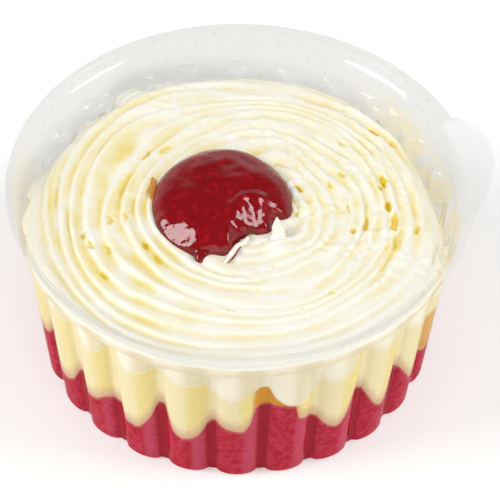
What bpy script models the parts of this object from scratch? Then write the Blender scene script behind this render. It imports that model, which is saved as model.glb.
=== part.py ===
"""A berry trifle for one, in its clear fluted tub with a lid tab.

Units are metres, +Z is up.  The origin is the centre of the tub's flat underside and +X points at
the lid tab.  The food is four bodies that fill the tub from the bottom: jelly, custard, cream with
piped ridges, and a dollop of jam that lies in a hollow of the cream.
"""

import math
from collections import namedtuple

import bpy

MM = 0.001

# The tub
HEIGHT = 43.6 * MM
RIM_RADIUS = 47.5 * MM
RIM_SHIFT = 0.5 * MM  # the flange is trimmed this far off centre, towards the tab
FLANGE_EDGE = 0.7 * MM
FLANGE_INNER = 46.1 * MM
SEAT_RADIUS = 45.8 * MM
SEAT_DROP = 0.9 * MM
BAND_TOP_RADIUS = 45.3 * MM
BAND_BOTTOM_RADIUS = 44.9 * MM
LEDGE_Z = 34.7 * MM  # the ledge's underside, where the flutes end and the smooth band starts
LOBE_TOP_RADIUS = 44.2 * MM
BASE_RADIUS = 40.8 * MM
BASE_ROUNDING = 1.5 * MM
WALL = 0.6 * MM

# The flutes: wide rounded lobes with a narrow flat valley between each two
FLUTES = 25
FLUTE_DEPTH = 1.4 * MM
FIRST_LOBE = math.radians(3.6)
COLUMN_PLACES = (0.0, 0.24, 0.39, 0.61, 0.76)  # columns of points within one pitch, from the crest
COLUMN_INSETS = (0.0, 0.25, 1.0, 1.0, 0.25)  # how far each lies in towards the valley's depth

# The lid tab, a rounded ear on the flange
TAB_REACH = 4.9 * MM
TAB_HALF_ANGLE = math.radians(16.8)
TAB_LEAN = 0.35  # the ear's highest point lies this far towards its anticlockwise end

# The layers, as heights above the underside
GAP = 0.3 * MM
JELLY_LEVEL = 16.0 * MM
CUSTARD_LEVEL = 29.5 * MM
SHELF = 0.9  # inside this share of the radius, the surface between two layers is level
FINGER_TIP = 10.5 * MM  # custard hangs down to here in the lobes
FINGER_TIP_SPREAD = 1.2 * MM
FINGER_ROOT = 17.5 * MM  # and jelly rises to here in the valleys
FINGER_ROOT_SPREAD = 2.8 * MM
CREAM_TIP = 28.4 * MM  # cream hangs down to here in the lobes
CREAM_TIP_SPREAD = 1.4 * MM
CREAM_ROOT = 31.0 * MM
CREAM_ROOT_SPREAD = 1.2 * MM
PINCH = math.radians(-86)  # here jelly has risen, and cream has sunk, until they almost meet
PINCH_RISE = 12.5 * MM
PINCH_SINK = 4.0 * MM
PINCH_WIDTH = math.radians(9)
SINK_WIDTH = math.radians(14)

# The cream's top
CREAM_MIDDLE = 36.3 * MM
CREAM_EDGE = 33.8 * MM
CREAM_TILT = 4.0 * MM
LOW_SIDE = math.radians(60)
SLUMP = 3.0 * MM  # the cream has slid down the wall beside the tab
SLUMP_BELOW = 4.0 * MM  # and its underside a little further
SLUMP_ANGLE = math.radians(12)
SLUMP_WIDTH = math.radians(24)
SWIRL_CENTRE = (5.8 * MM, -1.5 * MM)
SWIRL_SHARE = 0.78  # the ridges fill this outer share of the radius
RIDGES = 5
RIDGE_HEIGHT = 0.8 * MM
RIDGE_SPREAD = 0.4
STEEP_SIDE = math.radians(172)  # here and straight across, the ridges are deepest

# The jam dollop
JAM_CENTRE = (-3.3 * MM, 1.3 * MM)
JAM_RADIUS = 14.2 * MM
JAM_BOTTOM = 34.6 * MM
JAM_HEIGHT = 6.6 * MM
JAM_BELLY = 0.25  # the widest part's height as a share of the dollop's
JAM_SHOULDERS = (62, 38, 18, 0, -24)  # degrees up from the widest part, the last at the underside
JAM_STEPS = 24
JAM_DENT = 3.4 * MM
JAM_DENT_ANGLE = math.radians(-57)
JAM_DENT_WIDTH = math.radians(34)

COLUMNS = FLUTES * len(COLUMN_PLACES)
PITCH = 2 * math.pi / FLUTES
LEDGE_TOP = LEDGE_Z + WALL
TOUCH = GAP / 10  # heights and radii closer than this count as the same
OVER_LEDGE = LEDGE_TOP + 0.4 * MM  # above this, the food reaches out over the ledge

Column = namedtuple("Column", "lobe valley angle inset")


def clear_scene():
    for old in list(bpy.data.objects):
        bpy.data.objects.remove(old)


def make_material(name, colour, roughness, alpha=1.0):
    material = bpy.data.materials.new(name)
    material.use_nodes = True
    shader = material.node_tree.nodes["Principled BSDF"]
    shader.inputs["Base Color"].default_value = (*colour, 1.0)
    shader.inputs["Roughness"].default_value = roughness
    shader.inputs["Alpha"].default_value = alpha
    return material


def turned(name, profile, steps, collection):
    """Turns a profile of (radius, height) points, from the top centre down the outside, about Z."""
    points = [(radius, 0.0, height) for radius, height in profile]
    edges = [(i, i + 1) for i in range(len(points) - 1)]
    mesh = bpy.data.meshes.new(name + "_profile")
    mesh.from_pydata(points, edges, [])
    blank = bpy.data.objects.new(name + "_profile", mesh)
    collection.objects.link(blank)
    screw = blank.modifiers.new("Turn", "SCREW")
    screw.steps = steps
    screw.render_steps = steps
    screw.use_merge_vertices = True
    screw.merge_threshold = 0.00001
    bpy.context.view_layer.update()
    depsgraph = bpy.context.evaluated_depsgraph_get()
    turned_mesh = bpy.data.meshes.new_from_object(blank.evaluated_get(depsgraph))
    bpy.data.objects.remove(blank)
    bpy.data.meshes.remove(mesh)
    turned_mesh.name = name
    made = bpy.data.objects.new(name, turned_mesh)
    collection.objects.link(made)
    return made


def split_faces(made):
    """Splits four-sided faces along the shorter way, so that surfaces that meet are split alike."""
    splitting = made.modifiers.new("Split", "TRIANGULATE")
    splitting.quad_method = "SHORTEST_DIAGONAL"


def finish(made, material, crease=math.radians(35)):
    made.data.materials.clear()
    made.data.materials.append(material)
    made.data.shade_smooth()
    made.data.set_sharp_from_angle(angle=crease)


def angle_between(a, b):
    return abs((a - b + math.pi) % (2 * math.pi) - math.pi)


def bump(angle, centre, width):
    return math.exp(-((angle_between(angle, centre) / width) ** 2))


def column_at(x, y):
    """The column of points at x, y: its nearest lobe and valley, its angle and its inset."""
    number = round(math.atan2(y, x) / (2 * math.pi) * COLUMNS) % COLUMNS
    flute, step = divmod(number, len(COLUMN_PLACES))
    place = COLUMN_PLACES[step]
    lobe = flute + round(place)
    return Column(lobe, flute, FIRST_LOBE + (flute + place) * PITCH, COLUMN_INSETS[step])


# ---- the tub -------------------------------------------------------------------------------------


def tab_reach(angle):
    """How far the flange's outer edge stands out of its circle at this angle."""
    turn = (angle + math.pi) % (2 * math.pi) - math.pi
    along = turn / TAB_HALF_ANGLE
    if abs(along) >= 1:
        return 0.0
    leaning = along - TAB_LEAN * (1 - along * along)
    return TAB_REACH * (1 - leaning * leaning) ** 0.8


def tub_profile():
    return [
        (0.0, WALL),
        (BASE_RADIUS - WALL - BASE_ROUNDING, WALL),
        (BASE_RADIUS - WALL, WALL + BASE_ROUNDING),
        (LOBE_TOP_RADIUS - WALL, LEDGE_TOP),
        (BAND_BOTTOM_RADIUS - WALL, LEDGE_TOP),
        (BAND_TOP_RADIUS - WALL, HEIGHT - SEAT_DROP),
        (SEAT_RADIUS, HEIGHT - SEAT_DROP),
        (FLANGE_INNER, HEIGHT),
        (RIM_RADIUS, HEIGHT),
        (RIM_RADIUS, HEIGHT - FLANGE_EDGE),
        (BAND_TOP_RADIUS, HEIGHT - SEAT_DROP - FLANGE_EDGE),
        (BAND_BOTTOM_RADIUS, LEDGE_Z),
        (LOBE_TOP_RADIUS, LEDGE_Z),
        (BASE_RADIUS, BASE_ROUNDING),
        (BASE_RADIUS - BASE_ROUNDING, 0.0),
        (0.0, 0.0),
    ]


def flute_wall(radius, inset):
    return radius - inset * FLUTE_DEPTH


def make_tub(collection):
    tub = turned("tub", tub_profile(), COLUMNS, collection)
    for vertex in tub.data.vertices:
        x, y, z = vertex.co
        radius = math.hypot(x, y)
        column = column_at(x, y)
        shift = 0.0
        on_flutes = z < LEDGE_TOP + TOUCH and radius < LOBE_TOP_RADIUS + TOUCH
        if on_flutes and radius > TOUCH:
            radius = flute_wall(radius, column.inset)
        if radius > RIM_RADIUS - TOUCH:
            radius = radius + tab_reach(column.angle)
            shift = RIM_SHIFT
        across = shift + radius * math.cos(column.angle)
        along = radius * math.sin(column.angle)
        vertex.co = (across, along, z)
    return tub


# ---- the heights of the food ---------------------------------------------------------------------


def sag(angle):
    return bump(angle, SLUMP_ANGLE, SLUMP_WIDTH)


def jelly_top(column, share):
    """The surface between jelly and custard: fingers of custard hang down in the lobes."""
    if share < 1:
        return JELLY_LEVEL
    tip = FINGER_TIP + FINGER_TIP_SPREAD * math.sin(2.3 * column.lobe)
    root = FINGER_ROOT + FINGER_ROOT_SPREAD * math.sin(1.55 * (column.valley - 15))
    rise = PINCH_RISE * bump(column.angle, PINCH, PINCH_WIDTH)
    return tip + (root - tip) * column.inset + rise


def custard_top(column, share):
    """The surface between custard and cream: cream hangs down in the lobes as round blobs."""
    slide = SLUMP_BELOW * sag(column.angle)
    if share < 1:
        return CUSTARD_LEVEL - slide
    tip = CREAM_TIP + CREAM_TIP_SPREAD * math.cos(1.8 * (column.lobe - 17))
    root = CREAM_ROOT + CREAM_ROOT_SPREAD * math.cos(1.55 * (column.valley - 15))
    sink = PINCH_SINK * bump(column.angle, PINCH, SINK_WIDTH)
    return tip + (root - tip) * column.inset - slide - sink


def cream_top(angle, share, ridge):
    """The cream's top: a slope up to its middle, with ridge from -1 in a trough to 1 on a crest."""
    edge = CREAM_EDGE - CREAM_TILT * math.cos(angle - LOW_SIDE) - SLUMP * sag(angle)
    slope = CREAM_MIDDLE + (edge - CREAM_MIDDLE) * share**1.6
    height = RIDGE_HEIGHT * (1 + RIDGE_SPREAD * math.cos(2 * (angle - STEEP_SIDE)))
    return slope + height * ridge


def inner_radius(z, inset):
    """The radius of the tub's inside at height z, less the gap that the food keeps to it."""
    if z > OVER_LEDGE:
        climb = (z - LEDGE_Z) / (HEIGHT - SEAT_DROP - LEDGE_Z)
        radius = BAND_BOTTOM_RADIUS + (BAND_TOP_RADIUS - BAND_BOTTOM_RADIUS) * climb
    else:
        climb = (z - BASE_ROUNDING) / (LEDGE_Z - BASE_ROUNDING)
        radius = BASE_RADIUS + (LOBE_TOP_RADIUS - BASE_RADIUS) * min(climb, 1.0)
        radius = flute_wall(radius, inset)
    return radius - WALL - GAP


# ---- the food's bodies ---------------------------------------------------------------------------


def fill(name, top_shares, side_levels, bottom_shares, height_at, centre, collection):
    """Turns a unit disc of rings and shapes it: radius is a share of the tub's, level runs 0 to 1.

    height_at(column, share, level) gives each point's height, and centre is where the rings of the
    top are centred when they are small.
    """
    profile = [(0.0, 1.0)]
    profile += [(share, 1.0) for share in top_shares]
    profile += [(1.0, level) for level in side_levels]
    profile += [(share, 0.0) for share in bottom_shares]
    profile += [(0.0, 0.0)]
    made = turned(name, profile, COLUMNS, collection)
    for vertex in made.data.vertices:
        x, y, level = vertex.co
        share = min(math.hypot(x, y), 1.0)
        if share > 0.999:
            share = 1.0
        column = column_at(x, y)
        z = height_at(column, share, level)
        radius = share * inner_radius(z, column.inset * share**4)
        drift = (1 - share) * level
        across = centre[0] * drift + radius * math.cos(column.angle)
        along = centre[1] * drift + radius * math.sin(column.angle)
        vertex.co = (across, along, z)
    split_faces(made)
    return made


def jelly_height(column, share, level):
    floor = WALL + GAP
    if level == 0:
        return floor
    if level < 1:
        return floor + BASE_ROUNDING
    return jelly_top(column, share)


def custard_height(column, share, level):
    if level == 0:
        return jelly_top(column, share) + GAP
    return custard_top(column, share)


def cream_height(column, share, level):
    if level == 0:
        return custard_top(column, share) + GAP
    edge = cream_top(column.angle, 1.0, 0.0)
    if level < 0.5:
        return min(OVER_LEDGE - TOUCH, edge - 2 * GAP)
    if level < 1:
        return min(OVER_LEDGE + TOUCH, edge - GAP)
    if share == 0 or share == 1:
        return cream_top(column.angle, share, 0.0)
    turns = (1 - share) / SWIRL_SHARE * (RIDGES + 0.5)
    return cream_top(column.angle, share, -math.cos(2 * math.pi * turns))


def make_jelly(collection):
    return fill("jelly", (SHELF, 1.0), (0.5,), (0.955,), jelly_height, (0, 0), collection)


def make_custard(collection):
    return fill("custard", (SHELF, 1.0), (), (1.0, SHELF), custard_height, (0, 0), collection)


def make_cream(collection):
    spaces = 2 * RIDGES + 1
    shares = [1 - SWIRL_SHARE * (spaces - i) / spaces for i in range(spaces + 1)]
    return fill("cream", shares, (0.7, 0.3), (1.0, SHELF), cream_height, SWIRL_CENTRE, collection)


def jam_outline(angle):
    return JAM_RADIUS - JAM_DENT * bump(angle, JAM_DENT_ANGLE, JAM_DENT_WIDTH)


def make_jam(name, grow, collection):
    """A round-shouldered dollop with a flat underside, made larger all round by grow."""
    profile = [(0.0, 1.0)]
    for degrees in JAM_SHOULDERS:
        reach = math.cos(math.radians(degrees)) ** 0.75
        rise = JAM_BELLY + (1 - JAM_BELLY) * math.sin(math.radians(degrees))
        profile.append((reach, rise if degrees >= 0 else 0.0))
    profile.append((0.0, 0.0))
    made = turned(name, profile, JAM_STEPS, collection)
    for vertex in made.data.vertices:
        x, y, rise = vertex.co
        share = math.hypot(x, y)
        angle = math.atan2(y, x)
        radius = share * (jam_outline(angle) + grow)
        across = JAM_CENTRE[0] + radius * math.cos(angle)
        along = JAM_CENTRE[1] + radius * math.sin(angle)
        height = JAM_BOTTOM - grow + rise * (JAM_HEIGHT + 2 * grow)
        vertex.co = (across, along, height)
    return made


def cut(body, cutter):
    hollow = body.modifiers.new("Hollow", "BOOLEAN")
    hollow.operation = "DIFFERENCE"
    hollow.object = cutter
    cutter.hide_render = True
    cutter.display_type = "WIRE"


def main():
    clear_scene()
    trifle = bpy.data.collections.new("trifle")
    cutters = bpy.data.collections.new("cutters")
    bpy.context.scene.collection.children.link(trifle)
    bpy.context.scene.collection.children.link(cutters)

    clear_plastic = make_material("clear_plastic", (0.86, 0.87, 0.86), 0.08, 0.35)
    red_jelly = make_material("red_jelly", (0.45, 0.03, 0.06), 0.2)
    yellow_custard = make_material("yellow_custard", (0.87, 0.74, 0.36), 0.45)
    white_cream = make_material("white_cream", (0.95, 0.91, 0.78), 0.55)
    red_jam = make_material("red_jam", (0.28, 0.005, 0.01), 0.1)

    finish(make_tub(trifle), clear_plastic)
    finish(make_jelly(trifle), red_jelly)
    finish(make_custard(trifle), yellow_custard)
    cream = make_cream(trifle)
    finish(cream, white_cream)
    finish(make_jam("jam", 0.0, trifle), red_jam)
    cut(cream, make_jam("jam_hollow", GAP, cutters))


main()
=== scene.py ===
# %% [markdown]
# # A berry trifle for one, in its clear fluted tub
#
# The part is a small dessert tub, about 95 mm across, filled with red jelly, custard and whipped
# cream, with a spoonful of jam on top.  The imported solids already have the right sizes.  In this
# lesson each of them is replaced by a finer mesh, and every surface gets a material of its own.

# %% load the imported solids
import math

import bpy
import numpy as np
from mathutils import Euler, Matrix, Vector, noise


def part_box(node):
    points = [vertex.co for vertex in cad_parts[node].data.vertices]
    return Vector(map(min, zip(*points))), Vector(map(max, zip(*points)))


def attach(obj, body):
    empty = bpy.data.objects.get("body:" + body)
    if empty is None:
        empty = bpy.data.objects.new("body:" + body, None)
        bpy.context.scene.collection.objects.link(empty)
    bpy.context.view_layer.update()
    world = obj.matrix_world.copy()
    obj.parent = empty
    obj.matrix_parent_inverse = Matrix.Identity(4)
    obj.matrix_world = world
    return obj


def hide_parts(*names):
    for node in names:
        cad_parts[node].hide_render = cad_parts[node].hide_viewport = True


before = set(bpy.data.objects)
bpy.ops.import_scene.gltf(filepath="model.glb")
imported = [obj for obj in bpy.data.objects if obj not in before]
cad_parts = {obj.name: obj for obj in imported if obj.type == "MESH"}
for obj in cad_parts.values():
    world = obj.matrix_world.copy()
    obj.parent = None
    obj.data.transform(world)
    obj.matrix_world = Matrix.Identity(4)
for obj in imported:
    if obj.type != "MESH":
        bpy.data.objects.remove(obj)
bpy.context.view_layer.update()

MM = 0.001
print("nodes:", sorted(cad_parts))

# %% [markdown]
# ## Sizes
#
# The rim's height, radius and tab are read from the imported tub, and the rest are the sizes that
# the solids were made with, apart from the base's edge, which is rounded less.  The origin is in
# the middle of the tub's underside, and +X points at the lid tab.

# %% the tub's sizes
tub_low, tub_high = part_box("tub")
HEIGHT = tub_high.z
RIM_RADIUS = tub_high.y
RIM_SHIFT = tub_low.x + RIM_RADIUS
WALL = 0.6 * MM
LOBE_TOP_RADIUS = 44.2 * MM
BASE_RADIUS = 40.8 * MM
BASE_ROUNDING = 0.7 * MM
LEDGE_Z = 34.7 * MM
BAND_BOTTOM_RADIUS = 44.9 * MM
BAND_TOP_RADIUS = 45.3 * MM
FLANGE_INNER = 46.2 * MM
FLUTES = 25
FLUTE_DEPTH = 1.4 * MM
FIRST_LOBE = math.radians(3.6)
PITCH = 2 * math.pi / FLUTES
TAB_REACH = tub_high.x - RIM_RADIUS - RIM_SHIFT
TAB_HALF_ANGLE = math.radians(16.8)
TAB_LEAN = 0.35
print(f"rim {2000 * RIM_RADIUS:.1f} mm across, {1000 * HEIGHT:.1f} mm high, tab {1000 * TAB_REACH:.1f} mm")

# %% [markdown]
# ## One way to make every round piece
#
# A tub and what fills it are all round, so each piece starts as a circle that is extruded into a
# tube, and the tube's upright edges are subdivided into rings.  Every ring is then moved to its
# place: a list says how far from the axis and how high each one belongs.  Modelling the rings one
# by one by hand would give the same mesh with hundreds of steps.

# %% a straight tube of rings
COLUMNS = 24 * FLUTES
MOST_CUTS = 100


def straight_tube(name, columns, rings):
    """A tube of radius 1 and height 1.  One subdivide makes at most a hundred cuts, so a tube of
    more rings is extruded in storeys, which takes an odd number of rings."""
    bpy.ops.object.select_all(action="DESELECT")
    bpy.ops.mesh.primitive_circle_add(vertices=columns, radius=1, location=(0, 0, 0))
    piece = bpy.context.object
    piece.name = name
    piece.data.name = name
    bpy.ops.object.mode_set(mode="EDIT")
    bpy.ops.mesh.select_mode(type="EDGE")
    bpy.ops.mesh.select_all(action="SELECT")
    storeys = 1 + rings // MOST_CUTS
    for storey in range(storeys):
        bpy.ops.mesh.extrude_region_move(TRANSFORM_OT_translate={"value": (0, 0, 1 / storeys)})
    bpy.ops.object.mode_set(mode="OBJECT")
    corners = piece.data.vertices
    for edge in piece.data.edges:
        edge.select = corners[edge.vertices[0]].co.z != corners[edge.vertices[1]].co.z
    bpy.ops.object.mode_set(mode="EDIT")
    bpy.ops.mesh.subdivide(number_cuts=(rings - 1) // storeys - 1)
    bpy.ops.object.mode_set(mode="OBJECT")
    return piece


print(f"a layer gets {COLUMNS} columns, one for every {360 / COLUMNS:.1f} degrees")

# %% move the rings to their places and close the piece
MERGE_DISTANCE = 0.001 * MM


def tube(name, rows, place, columns=COLUMNS):
    """Makes a round piece.  rows holds (share, level) of each ring, from the bottom centre to the
    top centre or the rim.  place(turn, share, level) gives the points and the notes on them."""
    piece = straight_tube(name, columns, len(rows))
    spots = np.empty(len(piece.data.vertices) * 3)
    piece.data.vertices.foreach_get("co", spots)
    spots = spots.reshape(-1, 3)
    ring = np.rint(spots[:, 2] * (len(rows) - 1)).astype(int)
    step = 2 * math.pi / columns
    turn = np.rint(np.arctan2(spots[:, 1], spots[:, 0]) / step) * step
    share, level = np.array(rows, float).T
    points, notes = place(turn, share[ring], level[ring])
    piece.data.vertices.foreach_set("co", np.column_stack(points).ravel())
    for note, values in notes.items():
        kept_note = piece.data.attributes.new(note, "FLOAT", "POINT")
        kept_note.data.foreach_set("value", values.astype(np.float32))
    bpy.ops.object.mode_set(mode="EDIT")
    bpy.ops.mesh.select_all(action="SELECT")
    bpy.ops.mesh.remove_doubles(threshold=MERGE_DISTANCE)
    bpy.ops.mesh.normals_make_consistent(inside=False)
    bpy.ops.object.mode_set(mode="OBJECT")
    bpy.ops.object.shade_smooth()
    return piece


def report_piece(piece):
    piece.data.calc_loop_triangles()
    print(f"{piece.name}: {len(piece.data.loop_triangles)} triangles")


print(f"points closer than {1000 * MERGE_DISTANCE:.3f} mm become one")

# %% [markdown]
# ## Where the layers meet
#
# Custard was poured on the jelly, and cream on the custard, before either had quite set.  So each
# layer hangs down inside the lobes in soft fingers, and the one below climbs in the valleys
# between them.  Each line round the wall is a list of angles and heights, given where a finger
# begins, hangs lowest and ends, and round the back a formula carries on in the same way.
# A spline would swing past the knots at a finger's steep sides, so the helper joins them with a
# smooth line that never does.

# %% a smooth line through knots, all the way round
def through(knots, turn):
    """A smooth closed line through (degrees, value) knots that never overshoots them."""
    angles, values = np.array(knots, float).T
    angles = np.concatenate((angles[-2:] - 360, angles, angles[:2] + 360))
    values = np.concatenate((values[-2:], values, values[:2]))
    gaps = np.diff(angles)
    slopes = np.diff(values) / gaps
    product = slopes[:-1] * slopes[1:]
    total = slopes[:-1] + slopes[1:]
    tangents = np.where(product > 0, 2 * product / np.where(total == 0, 1, total), 0)
    tangents = np.concatenate(([0], tangents, [0]))
    degrees = (np.degrees(turn) - angles[2]) % 360 + angles[2]
    spot = np.clip(np.searchsorted(angles, degrees, side="right") - 1, 0, len(gaps) - 1)
    gap = gaps[spot]
    part = (degrees - angles[spot]) / gap
    rise = part * part * (3 - 2 * part)
    leave = part * (1 - part) ** 2
    arrive = part * part * (part - 1)
    flat = values[spot] * (1 - rise) + values[spot + 1] * rise
    return flat + gap * (tangents[spot] * leave + tangents[spot + 1] * arrive)


def height_on(line, turn):
    return through(line, turn) * MM


print("halfway from 1 to 3:", through([(-90, 1), (90, 3)], 0.0))

# %% even fingers for the back
BACK_LOBES = 13
DIP_SPREAD = 26


def back_line(tip, root, sway, dip=0.0):
    """Heights in mm round the back: a tip in each lobe and a root in each valley."""
    line = []
    for lobe in range(BACK_LOBES):
        crest = math.degrees(FIRST_LOBE + lobe * PITCH)
        low = tip + sway * math.sin(2.3 * lobe) - dip * math.exp(-(((crest - 12) / DIP_SPREAD) ** 2))
        high = root + sway * math.cos(1.7 * lobe) - dip * math.exp(-(((crest - 6) / DIP_SPREAD) ** 2))
        line.append((crest - 4, low))
        line.append((crest + 2.5, low + 0.4 * math.sin(lobe)))
        line.append((crest + 6.4, high))
        line.append((crest + 8, high - 0.3))
    return line


print("knots round the back:", len(back_line(10.8, 16.4, 0.9)))

# %% the lines round the wall, in degrees and millimetres
JELLY_LINE = [
    (-168, 15), (-165, 15.6), (-161.5, 20), (-159.8, 19.6), (-158.8, 9.4), (-155, 9.3), (-151, 11),
    (-148, 15.4), (-145.6, 15.6), (-144, 11.4), (-140, 12.4), (-135.5, 14.9), (-131.8, 14.1),
    (-129.8, 10.4), (-126.5, 10.4), (-122, 14.8), (-119, 20.4), (-117.8, 20.4), (-115, 12.8),
    (-112.5, 11.3), (-108.5, 12.6), (-104, 17.9), (-100, 16.3), (-96, 15.6), (-93.8, 17.8),
    (-92.4, 23), (-89, 23.9), (-81.5, 22.7), (-80.6, 18.4), (-75.6, 16.5), (-71, 12.4),
    (-68.3, 11.4), (-65.6, 14), (-63.4, 20), (-61, 19.6), (-58, 15.4), (-55, 11.4), (-52.4, 10),
    (-50.8, 11.4), (-49.5, 19), (-46, 17.4), (-41.5, 12.4), (-38.4, 9.2), (-36.4, 10.2),
    (-34.6, 15), (-29, 10.5), (-24.6, 10.9), (-19, 15.8), (-14, 10.4), (-8, 11.5),
] + back_line(10.8, 16.4, 0.9)
CREAM_LINE = [
    (-172, 29.5), (-163, 31.4), (-154, 30.6), (-149, 30.8), (-146, 31.3), (-143.2, 30.2),
    (-141.6, 28), (-138, 29), (-134, 32.6), (-131.5, 32.4), (-128, 28), (-123.5, 29.9),
    (-119, 32), (-113, 29.7), (-106.3, 30.7), (-104, 27.8), (-98.5, 26.2), (-94, 28.7),
    (-89.6, 29.2), (-87, 25.8), (-82.5, 23.1), (-79, 23.8), (-75.9, 26), (-75.2, 29.3),
    (-71, 27.6), (-67.5, 27.9), (-62.5, 32.6), (-59, 31.8), (-53.4, 29.9), (-49, 31.2),
    (-42, 28.3), (-37.5, 26.4), (-32.5, 28.6), (-26, 27.2), (-19, 28.4), (-12, 25.2), (-6, 25),
] + back_line(27.4, 29.6, 0.8, dip=5.0)
CREAM_EDGE = [
    (-176, 35.4), (-160, 36.6), (-130, 37.6), (-90, 37.8), (-50, 37.2), (-28, 35.9), (-17, 32.5),
    (-7, 28.6), (8, 26.9), (17, 26.4), (25, 27.9), (31, 30.1), (45, 30.8), (60, 31), (76, 31),
    (92, 32), (115, 34.3), (124, 32.3), (134, 31.4), (148, 31.7), (158, 33.4), (170, 34.9),
]

all_round = np.linspace(0, 2 * math.pi, 361)
custard_side = height_on(CREAM_LINE, all_round) - height_on(JELLY_LINE, all_round)
cream_side = height_on(CREAM_EDGE, all_round) - height_on(CREAM_LINE, all_round)
print(f"custard shows {1000 * custard_side.min():.1f} to {1000 * custard_side.max():.1f} mm, "
      f"cream {1000 * cream_side.min():.1f} to {1000 * cream_side.max():.1f} mm")

# %% [markdown]
# ## The tub
#
# Such tubs are thermoformed: a warm sheet of clear PET is sucked down into a fluted mould, so the
# wall has one thickness all over and every corner is soft.  It could be cut from a solid with
# booleans, but a wall this thin comes out cleaner as a skin that Solidify thickens.  The skin is
# a tube on a profile with rounded corners, and the flutes are pressed into it: wide lobes,
# elliptical in plan, with a narrow flat valley between each two.

# %% a smooth step
def between(values, start, end):
    """A smooth step from 0 at start to 1 at end."""
    share = np.clip((values - start) / (end - start), 0, 1)
    return share * share * (3 - 2 * share)


print("a quarter of the way along a smooth step:", between(0.25, 0, 1))

# %% the flutes, the band above them and the tab
LOBE_WIDTH = 0.78
TAB_FULLNESS = 0.8


def valley_share(turn):
    """0 on a lobe's crest, 1 all over the valley between two lobes."""
    along = np.abs((turn - FIRST_LOBE + PITCH / 2) % PITCH - PITCH / 2) / (PITCH / 2)
    return 1 - np.sqrt(np.clip(1 - (along / LOBE_WIDTH) ** 2, 0, 1))


def wall_radius(turn, z):
    """The radius of the tub's outer skin below the ledge."""
    climb = np.clip((z - BASE_ROUNDING) / (LEDGE_Z - BASE_ROUNDING), 0, 1)
    lobe = BASE_RADIUS + (LOBE_TOP_RADIUS - BASE_RADIUS) * climb
    low = np.clip(1 - z / BASE_ROUNDING, 0, 1)
    lobe = lobe - BASE_ROUNDING * (1 - np.sqrt(1 - low**2))
    return lobe - FLUTE_DEPTH * valley_share(turn)


def band_radius(z):
    climb = (z - LEDGE_Z) / (HEIGHT - LEDGE_Z)
    return BAND_BOTTOM_RADIUS + (BAND_TOP_RADIUS - BAND_BOTTOM_RADIUS) * climb


def tab_reach(turn):
    """How far the lid tab stands out past the round rim."""
    along = ((turn + math.pi) % (2 * math.pi) - math.pi) / TAB_HALF_ANGLE
    leaning = along - TAB_LEAN * (1 - along**2)
    full = np.clip(1 - leaning**2, 0, 1) ** TAB_FULLNESS
    return np.where(np.abs(along) < 1, TAB_REACH * full, 0)


half_way = LEDGE_Z / 2
print(f"half way up, a lobe's radius is {1000 * wall_radius(FIRST_LOBE, half_way):.1f} mm "
      f"and a valley's {1000 * wall_radius(FIRST_LOBE + PITCH / 2, half_way):.1f} mm")

# %% a profile with rounded corners
def rounded(corners, steps=4):
    """A path through (radius, height, rounding) corners, each rounded off by a small curve."""
    path = []
    for number, (radius, height, rounding) in enumerate(corners):
        here = Vector((radius, height))
        if rounding == 0:
            path.append(tuple(here))
            continue
        start = here + (Vector(corners[number - 1][:2]) - here).normalized() * rounding
        end = here + (Vector(corners[number + 1][:2]) - here).normalized() * rounding
        for step in range(steps + 1):
            share = step / steps
            path.append(tuple(start.lerp(here, share).lerp(here.lerp(end, share), share)))
    return path


def rings_between(low, high, heights):
    """Extra rings on a straight wall, so that it can carry notes that change with height."""
    slope = (high[0] - low[0]) / (high[1] - low[1])
    return [(low[0] + slope * (z * MM - low[1]), z * MM, 0) for z in heights]


print("a square corner is rounded by", len(rounded([(0, 0, 0), (1, 0, 0.1), (1, 1, 0)])) - 2, "points")

# %% [markdown]
# The ledge is where the fluted wall widens into the round band.  It slants a little: on a level
# ledge the inner wall, which Solidify lays one thickness inside, would fold over itself at the
# corner and show as a dark line.

# %% the outer skin
BASE_FLAT_RADIUS = 30 * MM
LOBE_FOOT = (BASE_RADIUS, 0.0)
LOBE_TOP = (LOBE_TOP_RADIUS, LEDGE_Z - 0.35 * MM)
BAND_FOOT = (BAND_BOTTOM_RADIUS, LEDGE_Z + 0.45 * MM)
SHOULDER_LOW = (44.95 * MM, 40.3 * MM)
SHOULDER_HIGH = (45.85 * MM, 41.05 * MM)
LEDGE_ROUNDING = 0.4 * MM
BAND_ROUNDING = 0.35 * MM
FLANGE_ROUNDING = 0.25 * MM
LIP_WIDTH = 0.3 * MM
LOBE_RINGS = [12, 22, 25, 26.5, 28, 29, 30, 31, 32, 33]
BAND_RINGS = [36.3, 37.3, 38.3, 39.3]

skin = rounded([
    (0.0, 0.0, 0),
    (BASE_FLAT_RADIUS, 0.0, 0),
    (*LOBE_FOOT, BASE_ROUNDING),
    *rings_between(LOBE_FOOT, LOBE_TOP, LOBE_RINGS),
    (*LOBE_TOP, LEDGE_ROUNDING),
    (*BAND_FOOT, BAND_ROUNDING),
    *rings_between(BAND_FOOT, SHOULDER_LOW, BAND_RINGS),
    (*SHOULDER_LOW, BAND_ROUNDING),
    (*SHOULDER_HIGH, BAND_ROUNDING),
    (FLANGE_INNER, HEIGHT - WALL, FLANGE_ROUNDING),
    (RIM_RADIUS - LIP_WIDTH, HEIGHT - WALL, 0),
    (RIM_RADIUS, HEIGHT - WALL, 0),
])
print("rings in the skin:", len(skin))
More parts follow.
